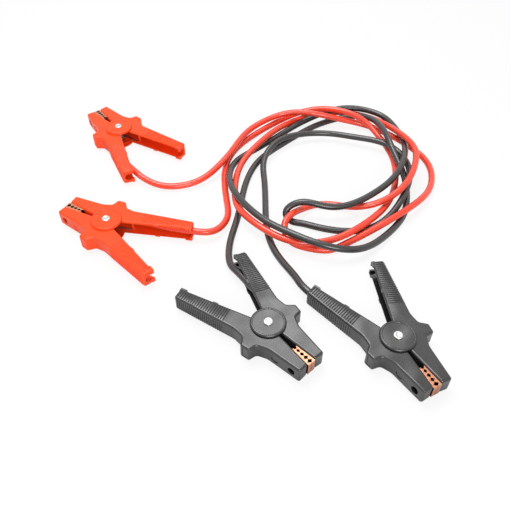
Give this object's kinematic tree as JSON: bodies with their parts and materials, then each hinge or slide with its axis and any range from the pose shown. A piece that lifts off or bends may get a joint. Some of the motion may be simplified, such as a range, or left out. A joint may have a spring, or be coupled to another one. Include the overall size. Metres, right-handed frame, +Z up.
{
  "type": "jump leads",
  "caption": "Red and black jump leads lying tangled together, with a hinged spring clamp with toothed copper jaws on each cable end.",
  "frame": {"origin": "middle of the box round the clamps in X and Y, at the height of the surface that the leads lie on", "axes": "+Z up; +X to the right and +Y away from the viewer, with the clamps along the left and the near side and the loops of cable at the far right"},
  "size_m": [0.4914, 0.5006, 0.0314],
  "materials": {
    "red_plastic": "moulded, satin",
    "black_plastic": "moulded, satin",
    "red_sheath": "soft and glossy",
    "black_sheath": "soft and glossy",
    "copper": "copper plated, bright",
    "rivet_steel": "nickel plated, bright",
    "spring_steel": "drawn wire"
  },
  "bodies": {
    "leads": {"red_clamp_a_cable_arm": "red_plastic", "red_clamp_a_pivot_rivet": "rivet_steel", "red_clamp_a_spring": "spring_steel", "red_clamp_a_cable_jaw": "copper", "red_clamp_a_cable_jaw_rivet": "rivet_steel", "red_clamp_a_cable_lug": "copper", "red_clamp_a_lead_end": "red_sheath", "red_clamp_b_cable_arm": "red_plastic", "red_clamp_b_pivot_rivet": "rivet_steel", "red_clamp_b_spring": "spring_steel", "red_clamp_b_cable_jaw": "copper", "red_clamp_b_cable_jaw_rivet": "rivet_steel", "red_clamp_b_cable_lug": "copper", "red_clamp_b_lead_end": "red_sheath", "black_clamp_a_cable_arm": "black_plastic", "black_clamp_a_pivot_rivet": "rivet_steel", "black_clamp_a_spring": "spring_steel", "black_clamp_a_cable_jaw": "copper", "black_clamp_a_cable_jaw_rivet": "rivet_steel", "black_clamp_a_cable_lug": "copper", "black_clamp_a_lead_end": "black_sheath", "black_clamp_b_cable_arm": "black_plastic", "black_clamp_b_pivot_rivet": "rivet_steel", "black_clamp_b_spring": "spring_steel", "black_clamp_b_cable_jaw": "copper", "black_clamp_b_cable_jaw_rivet": "rivet_steel", "black_clamp_b_cable_lug": "copper", "black_clamp_b_lead_end": "black_sheath", "red_lead_tail_a": "red_sheath", "red_lead_loops": "red_sheath", "red_lead_tail_b": "red_sheath", "black_lead_tail_a": "black_sheath", "black_lead_loops": "black_sheath", "black_lead_tail_b": "black_sheath"},
    "red_a_free_arm": {"red_clamp_a_free_arm": "red_plastic", "red_clamp_a_free_jaw": "copper", "red_clamp_a_free_jaw_rivet": "rivet_steel"},
    "red_b_free_arm": {"red_clamp_b_free_arm": "red_plastic", "red_clamp_b_free_jaw": "copper", "red_clamp_b_free_jaw_rivet": "rivet_steel"},
    "black_a_free_arm": {"black_clamp_a_free_arm": "black_plastic", "black_clamp_a_free_jaw": "copper", "black_clamp_a_free_jaw_rivet": "rivet_steel"},
    "black_b_free_arm": {"black_clamp_b_free_arm": "black_plastic", "black_clamp_b_free_jaw": "copper", "black_clamp_b_free_jaw_rivet": "rivet_steel"}
  },
  "joints": [
    {"name": "red_a_hinge", "type": "hinge", "parent": "leads", "child": "red_a_free_arm", "pos_m": [-0.164, 0.185, 0.01275], "axis": [0, 0, -1], "range_deg": [0, 34], "stiffness_Nm_per_rad": 0.8, "springref_deg": -17.19, "deforming": ["red_clamp_a_spring"]},
    {"name": "red_b_hinge", "type": "hinge", "parent": "leads", "child": "red_b_free_arm", "pos_m": [-0.147, -0.01, 0.01275], "axis": [0, 0, 1], "range_deg": [0, 34], "stiffness_Nm_per_rad": 0.8, "springref_deg": -17.19, "deforming": ["red_clamp_b_spring"]},
    {"name": "black_a_hinge", "type": "hinge", "parent": "leads", "child": "black_a_free_arm", "pos_m": [0.045, -0.164, 0.01275], "axis": [0, 0, -1], "range_deg": [0, 34], "stiffness_Nm_per_rad": 0.8, "springref_deg": -17.19, "deforming": ["black_clamp_a_spring"]},
    {"name": "black_b_hinge", "type": "hinge", "parent": "leads", "child": "black_b_free_arm", "pos_m": [0.174, -0.181, 0.01275], "axis": [0, 0, 1], "range_deg": [0, 34], "stiffness_Nm_per_rad": 0.8, "springref_deg": -17.19, "deforming": ["black_clamp_b_spring"]}
  ]
}
